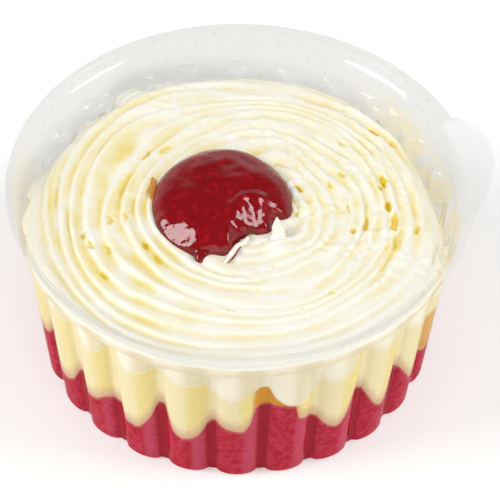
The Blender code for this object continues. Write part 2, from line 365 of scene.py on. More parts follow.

# %% [markdown]
# Above the cream the plastic is clouded: a faint mist everywhere, and on two sides a film of cream
# that was splashed on the wall.  Close to the cream a painted shade greys it further, where the
# floor behind lies in the food's shadow.  A picture of these would need a texture, so how much of
# each a point has is kept on the mesh as a note instead, and the tub's material reads it.

# %% the mist, the painted shade and the splashed cream on the wall
MIST_AND_SHADE = [(-165, 0.3), (-90, 0.05), (-25, 0.12), (5, 0.8), (35, 1), (120, 1), (165, 0.75)]
SPLASH = [
    (-60, 0), (-25, 0.6), (0, 1), (28, 1), (42, 0.25), (60, 0), (150, 0), (162, 0.4), (185, 0.5),
    (200, 0),
]
MIST_ALL_OVER = 0.13
MIST_ON_RIM = 0.24
MIST_ON_SIDE = 0.22
# Painted shade: the wall is tinted greyer close to the cream.
SHADE_BY_CREAM = 0.45
SHADE_HEIGHT = 7 * MM
SPLASH_FULL = 5 * MM
SPLASH_HEIGHT = 11 * MM


def wall_notes(turn, radius, z):
    """How much mist and painted shade each point of the plastic has, and how much splashed cream."""
    over_cream = z - height_on(CREAM_EDGE, turn)
    bare_side = between(over_cream, -2.2 * MM, -0.6 * MM) * np.where(radius > BASE_FLAT_RADIUS, 1, 0)
    off_rim = between(HEIGHT - z, 0.7 * MM, 1.2 * MM)
    on_rim = (1 - off_rim) * (1 - between(tab_reach(turn), 0, 2 * MM))
    nearness = between(over_cream, SHADE_HEIGHT, 0)
    side_mist_and_shade = bare_side * (MIST_ON_SIDE + SHADE_BY_CREAM * nearness**1.5) * off_rim
    splashed = bare_side * off_rim * between(over_cream, SPLASH_HEIGHT, SPLASH_FULL)
    return {
        "mist_and_shade": (side_mist_and_shade + MIST_ON_RIM * on_rim + MIST_ALL_OVER) * through(MIST_AND_SHADE, turn),
        "splash": splashed * through(SPLASH, turn),
    }


print(f"most mist {through(MIST_AND_SHADE, all_round).max():.2f}, most splash {through(SPLASH, all_round).max():.2f}")

# %% press the flutes, pull out the tab and give the skin its thickness
def press_tub(turn, radius, z):
    press = np.clip((BAND_BOTTOM_RADIUS - radius) / (BAND_BOTTOM_RADIUS - LOBE_TOP_RADIUS), 0, 1)
    press = press * between(radius, BASE_FLAT_RADIUS, BASE_RADIUS - BASE_ROUNDING)
    outward = np.clip((radius - FLANGE_INNER) / (RIM_RADIUS - FLANGE_INNER), 0, 1)
    pressed = radius - press * FLUTE_DEPTH * valley_share(turn) + outward * tab_reach(turn)
    x = outward * RIM_SHIFT + pressed * np.cos(turn)
    return (x, pressed * np.sin(turn), z), wall_notes(turn, radius, z)


tub = tube("tub_wall", skin, press_tub)
# The skin is open at the rim, so its normals can come out facing either way.  A face half way up
# the outside tells which, and Solidify then goes inwards from there.
outermost = max(tub.data.polygons, key=lambda face: face.center.y - abs(face.center.z - HEIGHT / 2))
if outermost.normal.y < 0:
    tub.data.flip_normals()
wall = tub.modifiers.new("Wall", "SOLIDIFY")
wall.thickness = WALL
wall.offset = -1
bpy.ops.object.modifier_apply(modifier="Wall")
report_piece(tub)

# %% [markdown]
# ## Jelly and custard
#
# Each layer is a closed body that reaches well into the plastic's thickness, so no air shows
# between food and tub.  What the eye needs is kept on the points as notes: how far a point lies
# above the line where its layer begins and below the line where it ends, how deep in a valley it
# is, on which flank of a lobe, and whether clear syrup has run over it.  The materials read these
# notes later.

# %% smooth noise
def wobble(x, y, z, size, seed=0.0):
    """Smooth noise from about -1 to 1, with bumps of this size."""
    spots = np.column_stack((x, y, z)) / size + seed
    return np.array([noise.noise(Vector(spot)) for spot in spots])


print("noise at one spot:", wobble([0.3], [0.2], [0.1], size=1.0).round(3))

# %% where syrup has run between the layers
SYRUP_RADIUS = 44
SYRUP_BUMPS = 2.2
SIDE_SYRUP = 0.75


def syrup_share(turn, z, above):
    """Two places on the wall, one in front and a paler one at the side, both ragged."""
    round_x = SYRUP_RADIUS * np.cos(turn)
    round_y = SYRUP_RADIUS * np.sin(turn)
    ragged = wobble(round_x, round_y, z / MM, SYRUP_BUMPS, seed=51.0)
    degrees = np.degrees(turn) + 1.2 * ragged
    uneven = z / MM + 1.1 * ragged
    front = between(degrees, -94.0, -92.2) * between(degrees, -79.5, -83.5)
    front = front * between(uneven, 31, 29)
    side = between(degrees, -35, -32) * between(degrees, -15, -20)
    side = side * between(uneven, 23.5, 21) * between(above / MM, -0.3, 1.6)
    return np.maximum(front, SIDE_SYRUP * side)


in_front_patch = (np.radians([-87.0]), np.array([26 * MM]), np.array([2 * MM]))
print("syrup in the middle of the front patch:", syrup_share(*in_front_patch))

# %% the rings of a layer
TUCK_SHARE = 0.995
FLAT_SHARE = 0.8
LAYER_SIDE_RINGS = 40


def layer_rows(tucked):
    """From the bottom centre to the top centre.  A tucked layer dips into the one below it."""
    bottom = [(0, 0), (0.5, 0), (FLAT_SHARE, 0), (0.97, 0)]
    if tucked:
        bottom.append((TUCK_SHARE, 0))
    side = [(1, ring / LAYER_SIDE_RINGS) for ring in range(LAYER_SIDE_RINGS + 1)]
    top = [(0.97, 1), (FLAT_SHARE, 1), (0.5, 1), (0, 1)]
    return bottom + side + top


def flank_share(turn):
    """-1 on the left flank of each lobe and 1 on its right flank."""
    return np.sin((turn - FIRST_LOBE) * FLUTES)


print("rings in the jelly:", len(layer_rows(False)))

# %% a layer between two lines
IN_WALL = 0.15 * MM
TUCK = 1.0 * MM
JELLY_LEVEL = 16 * MM
CUSTARD_LEVEL = 29.5 * MM
SHARP_ANGLE = math.radians(60)


def layer(name, low_line, high_line, low_level, high_level):
    """A layer whose side runs from one line to the other and whose middle lies between levels."""
    def place(turn, share, level):
        if low_line:
            low = height_on(low_line, turn)
        else:
            low = np.full(len(turn), IN_WALL)
        high = height_on(high_line, turn)
        z = low + (high - low) * level
        radius = wall_radius(turn, z) - IN_WALL
        inward = between(share, TUCK_SHARE, FLAT_SHARE)
        middle = np.where(level < 0.5, low_level, high_level)
        tucked_down = np.where((level == 0) & (share < 1) & bool(low_line), TUCK, 0)
        z = z + (middle - z) * np.where(share < 1, inward, 0) - tucked_down * (1 - inward)
        # The flank note also says where the materials paint shade and reflection on the lobes' flanks; it
        # is weaker on the tub's left.
        at_left = between(-np.cos(turn), 0.6, 0.95)
        notes = {
            "above_mm": (z - low) / MM,
            "below_mm": (high - z) / MM,
            "valley": valley_share(turn),
            "flank": flank_share(turn) * (1 - 0.7 * at_left),
            "syrup": syrup_share(turn, z, z - low),
        }
        return (radius * share * np.cos(turn), radius * share * np.sin(turn), z), notes
    piece = tube(name, layer_rows(bool(low_line)), place)
    bpy.ops.object.shade_smooth_by_angle(angle=SHARP_ANGLE)
    report_piece(piece)
    return piece


jelly = layer("jelly_layer", None, JELLY_LINE, IN_WALL, JELLY_LEVEL)
custard = layer("custard_layer", JELLY_LINE, CREAM_LINE, JELLY_LEVEL, CUSTARD_LEVEL)

# %% [markdown]
# ## Whipped cream
#
# The cream was piped in one long spiral and has slumped a little, so its top is a set of uneven
# ridges whose circles crowd together on the right.  Sculpting them by hand would come out
# different every time, so a formula does it.  The rings of the tube follow the spiral's circles:
# their centres drift from the tub's axis to the eye of the spiral.  Each ridge rises steeply and
# falls gently, and noise bends, tears and roughens it.

# %% the spiral, and how it changes round the tub
SPIRAL_RADIUS = 44.5 * MM
SPIRAL_EYE = (5.8 * MM, -1.5 * MM)
RIDGE_PITCH = 2.97 * MM
FIRST_GROOVE = 0.15
RIDGE_HEIGHT = [
    (-150, 0.55), (-120, 0.34), (-90, 0.18), (-55, 0.26), (-20, 0.4), (20, 0.4), (50, 0.3),
    (90, 0.22), (135, 0.42), (175, 0.65),
]
BROKEN = [
    (-160, 0.15), (-90, 0.3), (-55, 0.6), (-20, 1.0), (30, 1.0), (75, 0.7), (120, 0.5), (165, 0.2),
]


def spiral_phase(turn, spiral_radius):
    """Counts the grooves from the rim inwards: each whole number is a groove."""
    straight = (SPIRAL_RADIUS - spiral_radius) / RIDGE_PITCH + FIRST_GROOVE
    return straight - ((turn - math.pi) / (2 * math.pi))


def swept(turn, spiral_radius, size, sweep, seed):
    """Noise drawn out along the ridges: its bumps are this wide and much longer."""
    return wobble(spiral_radius / size, sweep * np.cos(turn), sweep * np.sin(turn), 1.0, seed)


print("ridges from the rim to the eye:", round(SPIRAL_RADIUS / RIDGE_PITCH))

# %% where a point lies across its ridge
def ridge_share(turn, spiral_radius, x, y, broken):
    """0 at the foot of a ridge's steep side, 1 at the end of its gentle side."""
    flat = np.zeros(len(x))
    drift = 0.75 + 0.7 * between(np.sin(turn), 0.3, 0.9)
    phase = spiral_phase(turn, spiral_radius)
    phase = phase + drift * swept(turn, spiral_radius, 6 * MM, sweep=1.2, seed=21.0)
    phase = phase + (0.04 + 0.14 * broken) * wobble(x, y, flat, 4.5 * MM, seed=7.0)
    phase = phase + 0.06 * broken * wobble(x, y, flat, 1.9 * MM, seed=11.0)
    return phase % 1


def crest_place(broken):
    """The share at which a ridge is highest.  A broken one is rounder."""
    return 0.22 + 0.2 * broken


print(f"a whole ridge is highest at {crest_place(0):.2f} of its width, a torn one at {crest_place(1):.2f}")

# %% how high the ridges stand
MOST_UNEVEN = 1.9
PEAK_FOOT = (6.7, -11.2)
PEAK_FOOT_RADIUS = 4.2
PEAK_FOOT_RISE = 0.9 * MM


def ridge_lift(share, turn, spiral_radius, x, y, broken):
    """How far each point of the top stands above the smooth surface."""
    flat = np.zeros(len(x))
    crest = crest_place(broken)
    rise = between(share, 0, crest)
    fall = 1 - 0.3 * between(share, crest, 0.65) - 0.7 * between(share, 0.5, 0.97)
    profile = np.where(share < crest, rise, fall)
    uneven = 1 + 1.3 * swept(turn, spiral_radius, 3 * MM, sweep=2.2, seed=3.0)
    uneven = uneven + 1.9 * broken * swept(turn, spiral_radius, 2.6 * MM, sweep=5.0, seed=5.0)
    uneven = np.clip(uneven, 0.0, MOST_UNEVEN)
    rim_fade = between(SPIRAL_RADIUS - spiral_radius, 0.3 * MM, 2.5 * MM)
    size = height_on(RIDGE_HEIGHT, turn) * uneven * rim_fade
    tearing = np.clip(wobble(x, y, flat, 8 * MM, seed=9.0) + 0.4 * broken, 0, 1)
    torn = wobble(x, y, flat, 1.5 * MM, seed=5.0) * tearing
    lift = size * (profile - 0.5) + (0.3 + 0.25 * broken) * MM * torn
    lift = lift + 0.4 * MM * wobble(x, y, flat, 16 * MM, seed=2.0)
    mound = np.hypot(x / MM - PEAK_FOOT[0], y / MM - PEAK_FOOT[1]) / PEAK_FOOT_RADIUS
    return lift + PEAK_FOOT_RISE * between(mound, 1.0, 0.2)


ridge_heights = [height for turn, height in RIDGE_HEIGHT]
print(f"the ridges are {min(ridge_heights)} to {max(ridge_heights)} mm high")

# %% [markdown]
# Light that falls into a groove bounces between its walls and picks up the yellow of the butterfat
# each time.  That warm bounced light is painted into the colour as a yellow shade: the deeper a
# point lies between the ridges, the more of it it gets.  A shader can't see how deep a point lies,
# so this too is kept as a note.

# %% the painted yellow shade between the ridges
GROOVE_SHADE = [
    (-150, 1.35), (-120, 0.8), (-85, 0.35), (-45, 0.5), (0, 0.9), (40, 0.7), (90, 0.5),
    (135, 1.05), (175, 1.45),
]


# Painted shade: how much yellow stands in for the light bounced in each groove.
def groove_shade_share(share, turn, spiral_radius, x, y, broken):
    flat = np.zeros(len(x))
    crest = crest_place(broken)
    trough = 0.45 * between(share, 0.28, 0.5) + 0.65 * between(share, 0.6, 0.97)
    trough = np.where(share < crest, 1.1 * (1 - between(share, 0, 0.7 * crest)), trough)
    patchy = 0.8 + 1.3 * swept(turn, spiral_radius, 2.6 * MM, sweep=4.0, seed=13.0)
    patchy = patchy + 0.5 * wobble(x, y, flat, 2.2 * MM, seed=17.0)
    groove_shade = 0.75 * through(GROOVE_SHADE, turn) * np.clip(patchy, 0.05, 1.6) * (trough + 0.1)
    from_rim = (SPIRAL_RADIUS - spiral_radius) / MM
    return np.tanh(groove_shade * between(from_rim, 1.2 + 2.5 * broken, 4 + 4 * broken))


print("most buttery where the factor is", max(value for turn, value in GROOVE_SHADE), "on the left")

# %% [markdown]
# Bubbles have burst and cream has torn away here and there, which leaves small pits.  Scattering
# them would put them in the wrong places, so each is listed one by one: x and y, half its length
# along the ridge, half its width, and how deep it looks.

# %% the pits, in millimetres
PITS = [
    (-38.2, 0.5, 5, 0.5, 0.35), (-38.0, 6.7, 5, 0.5, 0.35), (-37.0, 13.3, 5, 0.5, 0.35),
    (-22.2, 9.4, 3.2, 1.6, 0.4), (-22.4, 3.2, 3.2, 1.5, 0.45), (-23.2, -0.4, 1.6, 0.5, 1.1),
    (-26.3, -0.6, 1.1, 0.6, 1.0), (-27.3, -8.6, 1.0, 0.5, 1.0), (-31.9, -4.2, 1.0, 0.5, 1.2),
    (-30.8, -7.2, 1.3, 0.6, 1.4), (-28.9, -15.5, 1.2, 0.5, 1.2), (-19.8, -8.2, 1.2, 0.5, 1.3),
    (-17.8, -12.2, 1.6, 0.7, 0.8), (-5.2, -27.7, 0.9, 0.5, 0.8), (4.8, -16.9, 0.4, 0.4, 0.5),
    (15.7, -25.2, 0.8, 0.5, 0.7), (30.6, 4.4, 1.6, 0.6, 1.9), (29.6, 2.2, 0.6, 0.5, 1.4),
    (30.4, -2.8, 1.3, 0.8, 1.9), (31.0, -7.4, 2.4, 0.8, 1.9), (31.0, -12.6, 3.0, 0.9, 0.9),
    (25.1, -7.2, 1.9, 0.5, 1.2), (22.3, -8.6, 0.8, 0.5, 1.2), (35.2, -10.1, 1.1, 0.4, 1.0),
    (30.8, 18.7, 1.4, 0.5, 1.2), (34.5, 15.0, 1.2, 0.5, 0.8), (26.7, 23.7, 1.4, 0.5, 1.0),
    (23.6, 15.9, 0.9, 0.5, 1.0), (22.4, 6.9, 1.0, 0.5, 1.1), (19.3, 4.3, 0.8, 0.4, 1.0),
    (22.3, -2.4, 1.2, 0.5, 0.9), (12.9, 4.2, 1.4, 0.6, 1.6), (11.5, -2.9, 0.7, 0.5, 1.4),
    (10.6, 11.0, 1.8, 0.6, 0.7), (29.2, -13.5, 3.2, 0.8, 0.7), (27.4, -18.0, 3.2, 0.8, 0.6),
    (25.0, -22.5, 3.2, 0.7, 0.5), (5.5, 15.5, 2.2, 0.7, 0.5), (-16.9, 17.5, 1.6, 0.5, 1.1),
    (-13.2, 18.6, 1.5, 0.5, 0.9),
]
RIDGE_CENTRE = (3.5, -0.8)
PIT_DEPTH = 0.4 * MM
# A pit's depth also sets how much painted yellow shade it gets.
PIT_SHADE = 0.65


def pitted(x, y):
    """How deep in a pit each point of the top looks."""
    flat = np.zeros(len(x))
    ragged_x = x / MM + 0.5 * wobble(x, y, flat, 1.3 * MM, seed=31.0)
    ragged_y = y / MM + 0.5 * wobble(x, y, flat, 1.3 * MM, seed=37.0)
    dug = np.zeros(len(x))
    for pit_x, pit_y, length, width, deep in PITS:
        away_x = ragged_x - pit_x
        away_y = ragged_y - pit_y
        angle = math.atan2(pit_y - RIDGE_CENTRE[1], pit_x - RIDGE_CENTRE[0])
        outward = away_x * math.cos(angle) + away_y * math.sin(angle)
        sideways = -away_x * math.sin(angle) + away_y * math.cos(angle)
        away = np.hypot(outward / width, sideways / length)
        dug = dug + deep * between(away, 1.25, 0.75)
    return dug


def cream_relief(turn, spiral_radius, x, y):
    """The lift and the painted groove shade of each point of the top."""
    broken = through(BROKEN, turn)
    share = ridge_share(turn, spiral_radius, x, y, broken)
    dug = pitted(x, y)
    lift = ridge_lift(share, turn, spiral_radius, x, y, broken) - PIT_DEPTH * dug
    groove_shade = groove_shade_share(share, turn, spiral_radius, x, y, broken) + PIT_SHADE * dug
    return lift, groove_shade


print("pits:", len(PITS))

# %% [markdown]
# In front the cream fills the tub past the ledge and leans on the band.  At the back and on the
# right it ends below the ledge, in a ragged lip that rounds over and falls short of the wall.
# One side does both: up to its knee it follows the wall, and above that it either widens into the
# band or curls inwards, depending on where its edge lies.

# %% the cream's side
LEDGE_MIDDLE = LEDGE_Z + WALL / 2
KNEE = 0.7
KNEE_BELOW_EDGE = 2.2 * MM
BAND_FADE = 1.2 * MM
BACK_MIDDLE = math.radians(75)
EDGE_SWAY = 1.5 * MM
LIP_GAP = 1.5
LIP_SWAY = 1.1
LIP_SLANT = 0.1


def back_sway(turn):
    """How ragged the edge is: smooth noise round the back, nothing in front."""
    round_x = 40 * np.cos(turn)
    round_y = 40 * np.sin(turn)
    flat = np.zeros(len(turn))
    ragged = 0.7 * wobble(round_x, round_y, flat, 2.6, seed=41.0)
    ragged = ragged + 0.7 * wobble(round_x, round_y, flat, 7.0, seed=43.0)
    return ragged * between(np.cos(turn - BACK_MIDDLE), 0.1, 0.5)


def cream_wall(turn, level):
    """Radius and height up the side, from its foot at level 0 to its edge at level 1, the edge's
    own height, and how much of it leans on the band."""
    ragged = back_sway(turn)
    low = height_on(CREAM_LINE, turn)
    edge = height_on(CREAM_EDGE, turn) + EDGE_SWAY * ragged
    knee = np.minimum(LEDGE_MIDDLE, edge - KNEE_BELOW_EDGE)
    part = np.clip((level - KNEE) / (1 - KNEE), 0, 1)
    in_band = between(edge - LEDGE_MIDDLE, 0, BAND_FADE)
    rounding = (np.sin(part * math.pi / 2) - part) * (1 - in_band)
    z = low + (knee - low) * np.clip(level / KNEE, 0, 1) + (edge - knee) * (part + rounding)
    radius = wall_radius(turn, z) - IN_WALL
    lip_radius = LOBE_TOP_RADIUS - (LIP_GAP - LIP_SWAY * ragged) * MM - (LEDGE_Z - z) * LIP_SLANT
    radius = radius + (lip_radius - radius) * (1 - np.cos(part * math.pi / 2))
    leaning = np.where(level > KNEE + 0.001, in_band, 0)
    radius = radius + (band_radius(z) - IN_WALL - radius) * leaning
    return radius, z, edge, in_band


back_radius = cream_wall(np.radians([60.0]), np.ones(1))[0][0]
print(f"at the back the lip falls {1000 * (LOBE_TOP_RADIUS - back_radius):.1f} mm short of the lobes")

# %% [markdown]
# The rings now run from the foot up the side and then inwards over the top.  The last one lies
# under the jam, and all its points share one spot in plan but not in height, because the ridges'
# noise changes with the angle.  So the top ends in a hidden slit of no width, not in one point.

# %% put the cream together
CREAM_MIDDLE = 36.3 * MM
CREAM_SIDE_RINGS = 22
CREAM_TOP_RINGS = 124
UNDER_JAM = 0.13
ON_TOP = 2
EDGE_FIT = 12
SLOPE_WIDTH = [
    (-135, 5), (-90, 9), (-60, 8), (-20, 6), (10, 8), (30, 7), (60, 6), (110, 6), (150, 5), (180, 4),
]
cream_rows = [(0, 0), (0.5, 0), (FLAT_SHARE, 0), (0.97, 0), (TUCK_SHARE, 0)]
cream_rows += [(1, ring / CREAM_SIDE_RINGS) for ring in range(CREAM_SIDE_RINGS + 1)]
cream_rows += [(float(share), ON_TOP) for share in np.linspace(1, UNDER_JAM, CREAM_TOP_RINGS)[1:]]
cream_rows += [(0.06, ON_TOP), (0, ON_TOP)]


def place_cream(turn, share, level):
    top = level == ON_TOP
    radius, z, edge, in_band = cream_wall(turn, level)
    low = height_on(CREAM_LINE, turn)
    inward = between(share, TUCK_SHARE, FLAT_SHARE)
    tucked = z + (CUSTARD_LEVEL - z) * inward - TUCK * (1 - inward)
    z = np.where((level == 0) & (share < 1), tucked, z)
    spiral_radius = share * SPIRAL_RADIUS
    fitted = spiral_radius + (radius - SPIRAL_RADIUS) * share**EDGE_FIT
    top_x = SPIRAL_EYE[0] * (1 - share) + fitted * np.cos(turn)
    top_y = SPIRAL_EYE[1] * (1 - share) + fitted * np.sin(turn)
    lift = np.zeros(len(turn))
    groove_shade = np.zeros(len(turn))
    lift[top], groove_shade[top] = cream_relief(turn[top], spiral_radius[top], top_x[top], top_y[top])
    fall = between(spiral_radius, SPIRAL_RADIUS - height_on(SLOPE_WIDTH, turn), SPIRAL_RADIUS)
    x = np.where(top, top_x, radius * share * np.cos(turn))
    y = np.where(top, top_y, radius * share * np.sin(turn))
    z = np.where(top, CREAM_MIDDLE + (edge - CREAM_MIDDLE) * fall + lift, z)
    lip = np.maximum(between(level, 0.93, 1), between(level, 0.3, 0.6) * (1 - in_band))
    over_ledge = (z - LEDGE_MIDDLE) / MM
    notes = {
        "above_mm": (z - low) / MM,
        # the painted yellow shade in the grooves and pits
        "groove_shade": np.clip(groove_shade, 0, 2),
        "on_top": np.where(top, 1, lip),
        # ledge and flank mark where the material paints shade on the side: along the ledge and on each
        # lobe's right flank
        "ledge": np.where(top, 0, np.exp(-(((over_ledge - 0.4) / 0.8) ** 2))),
        "flank": flank_share(turn),
    }
    return (x, y, z), notes


cream = tube("cream_layer", cream_rows, place_cream)
report_piece(cream)

# %% [markdown]
# ## Jam
#
# The jam is a spoonful of glossy berry jam that has set into a thick puddle with steep round
# shoulders.  A squashed sphere would be too even, so it is the same kind of tube, closed at the
# top, with an outline that bulges and pinches, one short drip towards the front, shallow lumps
# where fruit lies under the skin, a hollow where the spoon left it, and two flatter flanks that
# catch the lamps.

# %% the jam's outline and its drip
JAM_CENTRE = (-3.3 * MM, 1.3 * MM)
JAM_OUTLINE = [
    (-175, 14.5), (-150, 15.0), (-130, 15.3), (-116, 15.4), (-108, 14.9), (-101, 14.5),
    (-92, 14.4), (-85, 12.3), (-76, 10.9), (-62, 10.4), (-54, 11.8), (-45, 12.9), (-36, 11.9),
    (-29, 11.8), (-23.5, 14.4), (-12, 14.6), (10, 14.7), (45, 15.1), (66, 15.7), (90, 15.8),
    (110, 15.2), (135, 14.7), (160, 14.4),
]
DRIP_HEADING = -112.5
DRIP_HALF_ANGLE = 4.2
DRIP_REACH = 1.9 * MM
DRIP_TOP = 0.22


def drip_reach(turn, level):
    """How far the drip runs out past the outline, near the foot only."""
    across = (np.degrees(turn) - DRIP_HEADING) / DRIP_HALF_ANGLE
    reach = np.exp(-(across**4)) * DRIP_REACH
    return reach * np.sqrt(np.clip(1 - (level / DRIP_TOP) ** 2, 0, 1))


jam_width = height_on(JAM_OUTLINE, 0.0) + height_on(JAM_OUTLINE, math.pi)
print(f"the jam is {1000 * jam_width:.0f} mm wide")

# %% its hollows and its flatter flanks
JAM_FOOT = 34.9 * MM
JAM_TOP = 41.0 * MM

# (x, y, spread, depth) of the hollows, in millimetres
JAM_DIPS = [
    (8.5, -9.5, 5.5, 2.4), (2.5, 1.5, 2.5, 0.6),
]

# (x, y, z, way it faces, how steeply up, half length, half width, roughness) of the flanks
JAM_FLANKS = [
    (-13.8, -6.2, 38.25, -139, 50, 4.4, 2.0, 0.9), (1.8, -4.4, 40.0, -59, 55, 4.4, 3.4, 2.0),
]


def hollowed(rise, x, y, upward):
    for dip_x, dip_y, spread, deep in JAM_DIPS:
        away = np.hypot(x / MM - dip_x, y / MM - dip_y)
        rise = rise - deep * MM * upward * np.exp(-((away / spread) ** 2))
    return rise


def flattened(rise, x, y, lumps):
    """Draws the dome towards a slightly bent plane near the middle of each flank."""
    for flank_x, flank_y, flank_z, heading, elevation, length, width, roughness in JAM_FLANKS:
        facing = math.radians(heading)
        ahead = (x / MM - flank_x) * math.cos(facing) + (y / MM - flank_y) * math.sin(facing)
        aside = (y / MM - flank_y) * math.cos(facing) - (x / MM - flank_x) * math.sin(facing)
        slope = math.tan(math.radians(90 - elevation))
        bend = aside**2 / (14 * length) + ahead**2 / (3.6 * width**2)
        plane = (flank_z - ahead * slope - bend) * MM - JAM_FOOT + lumps * roughness
        near = between(np.hypot(ahead / width, aside / length), 1.45, 0.7)
        rise = rise + (plane - rise) * near
    return rise


print("hollows:", len(JAM_DIPS), "flanks:", len(JAM_FLANKS))

# %% put the jam together
JAM_COLUMNS = 240
JAM_RINGS = 60
JAM_ROUNDNESS = 2.35
jam_rows = [(0, 0)] + [(1, ring / JAM_RINGS) for ring in range(JAM_RINGS + 1)]


def place_jam(turn, share, level):
    swing = level * math.pi / 2
    outward = np.cos(swing) ** (2 / JAM_ROUNDNESS)
    upward = np.sin(swing) ** (2 / JAM_ROUNDNESS)
    radius = (height_on(JAM_OUTLINE, turn) * outward + drip_reach(turn, level)) * share
    x = JAM_CENTRE[0] + radius * np.cos(turn)
    y = JAM_CENTRE[1] + radius * np.sin(turn)
    flat = np.zeros(len(x))
    lumps = 0.55 * MM * wobble(x, y, flat, 6.5 * MM, seed=1.0)
    lumps = lumps + 0.25 * MM * wobble(x, y, flat, 2.8 * MM, seed=4.0)
    rise = (JAM_TOP - JAM_FOOT + lumps) * upward
    rise = flattened(hollowed(rise, x, y, upward), x, y, lumps)
    return (x, y, JAM_FOOT + rise), {"height": upward}


jam = tube("jam_spoonful", jam_rows, place_jam, columns=JAM_COLUMNS)
report_piece(jam)

# %% [markdown]
# ## Dabs and traces
#
# A few small things lie where the jam meets the cream: a peak of cream that leans on the jam, a
# thin curl along the jam's edge, a thread of jam beside it, and an amber trace of syrup.  A curve
# with a bevel would be evenly round all along, so each is a stroke instead: a thin flattened tube
# along a short path, with its own width at each point and rounded ends.

# %% one stroke
SMOOTHING = (-0.09, -0.045, 0.0, 0.045, 0.09)
LOOK_AHEAD = 0.04
STROKE_COLUMNS = 24
STROKE_RINGS = 32
STROKE_BUMPS = 1.5


def smoothed(level, places, values):
    """Follows the knots in a soft line, as the mean of a few spots around each level."""
    return np.mean([np.interp(level + shift, places, values) for shift in SMOOTHING], axis=0)


def stroke(name, path, thickness, roughness=0.15):
    """Sweeps an oval along (x, y, z, width) points in millimetres.  Thickness is across it."""
    knots = np.array(path, float)
    places = np.linspace(0, 1, len(knots))
    rows = [(0, 0)] + [(1, ring / STROKE_RINGS) for ring in range(STROKE_RINGS + 1)] + [(0, 1)]

    def place(turn, share, level):
        spots = [smoothed(level, places, knots[:, axis]) for axis in range(3)]
        ahead = [smoothed(level + LOOK_AHEAD, places, knots[:, axis]) for axis in range(2)]
        behind = [smoothed(level - LOOK_AHEAD, places, knots[:, axis]) for axis in range(2)]
        along_x = ahead[0] - behind[0]
        along_y = ahead[1] - behind[1]
        length = np.hypot(along_x, along_y)
        taper = np.sqrt(np.clip(1 - (2 * level - 1) ** 4, 0, 1)) * share
        width = smoothed(level, places, knots[:, 3]) * taper / 2
        bumps = wobble(spots[0] + np.cos(turn), spots[1], spots[2] + np.sin(turn), STROKE_BUMPS)
        rough = 1 + roughness * bumps
        x = spots[0] + along_y / length * width * np.cos(turn) * rough
        y = spots[1] - along_x / length * width * np.cos(turn) * rough
        z = spots[2] + thickness * taper * np.sin(turn) * rough
        return (x * MM, y * MM, z * MM), {"height": np.ones(len(turn))}
    piece = tube(name, rows, place, columns=STROKE_COLUMNS)
    report_piece(piece)
    return piece


cream_peak = stroke("cream_peak", [
    (6.5, -14.0, 33.8, 3.4), (6.6, -12.7, 34.9, 3.6), (6.7, -11.4, 36.0, 3.4), (6.8, -10.0, 37.0, 3.0),
    (6.8, -8.7, 37.8, 2.4), (6.8, -7.4, 38.5, 1.5), (6.8, -6.3, 39.1, 0.4),
], thickness=1.1, roughness=0.45)
cream_curl = stroke("cream_curl", [
    (0.9, -8.6, 36.9, 0.7), (0.4, -9.9, 36.8, 1.3), (-0.6, -10.6, 36.7, 1.0), (-1.9, -11.2, 36.7, 1.3),
    (-2.8, -12.5, 36.6, 1.4), (-3.8, -14.0, 36.4, 1.3), (-5.3, -15.4, 36.0, 0.8),
], thickness=0.55, roughness=0.3)
jam_trace = stroke("jam_trace", [
    (-0.5, -10.5, 36.7, 0.3), (-1.8, -12.5, 36.7, 0.35), (-3.1, -14.4, 36.6, 0.3), (-4.2, -15.5, 36.5, 0.2),
], thickness=0.2)
syrup_trace = stroke("syrup_trace", [
    (-16.5, 11.0, 36.3, 0.8), (-16.6, 9.0, 36.6, 1.2), (-16.7, 7.0, 36.6, 1.4), (-17.0, 5.0, 36.6, 1.3),
    (-17.2, 3.2, 36.5, 1.0), (-17.4, 1.2, 36.2, 0.6),
], thickness=0.3, roughness=0.8)

# %% [markdown]
# ## Colours and nodes
#
# Colours are written as the hex values that a colour picker shows.  Shaders count light, so one
# function turns them linear.  Another adds a node, sets it, links it and gives back one of its
# outputs, so a material reads from top to bottom like a recipe.  Some nodes have several sockets
# of one name, which go by number.  Map Range has its value at 0 and its two ranges at 1 to 4, and
# a Mix of colours has its share at 0, its colours at 6 and 7, and its result at 2.
#
# Food has many tints that lie over each other like coats of paint.  So each colour below is a
# first colour and a list of coats, each with the share that says where it covers what is under it.

# %% colour and node helpers
VALUE, LOW, HIGH, NEW_LOW, NEW_HIGH = range(5)
SHARE, FIRST, SECOND, MIXED = 0, 6, 7, 2


def linear(code):
    """Turns an sRGB hex colour into the linear values that shaders use."""
    shares = [int(code[place:place + 2], 16) / 255 for place in (1, 3, 5)]
    values = [share / 12.92 if share <= 0.04045 else ((share + 0.055) / 1.055) ** 2.4 for share in shares]
    return (*values, 1)


def add(material, kind, inputs=None, output=0, **settings):
    """Adds a node.  An input is either a value or the output that it is linked from."""
    tree = material.node_tree
    node = tree.nodes.new(kind)
    for name, value in settings.items():
        setattr(node, name, value)
    for name, value in (inputs or {}).items():
        if isinstance(value, bpy.types.NodeSocket):
            tree.links.new(value, node.inputs[name])
        else:
            node.inputs[name].default_value = value
    return node.outputs[output] if node.outputs else None


def new_material(name, piece):
    """An empty material on a piece."""
    material = bpy.data.materials.new(name)
    material.use_nodes = True
    material.node_tree.nodes.clear()
    piece.data.materials.append(material)
    return material


def report_material(material):
    print(f"{material.name}: {len(material.node_tree.nodes)} nodes")


def scale_of(size_mm):
    """The noise scale, per metre, that gives features of this size."""
    return 1000 / size_mm


print("mid grey is", [round(value, 3) for value in linear("#808080")[:3]])
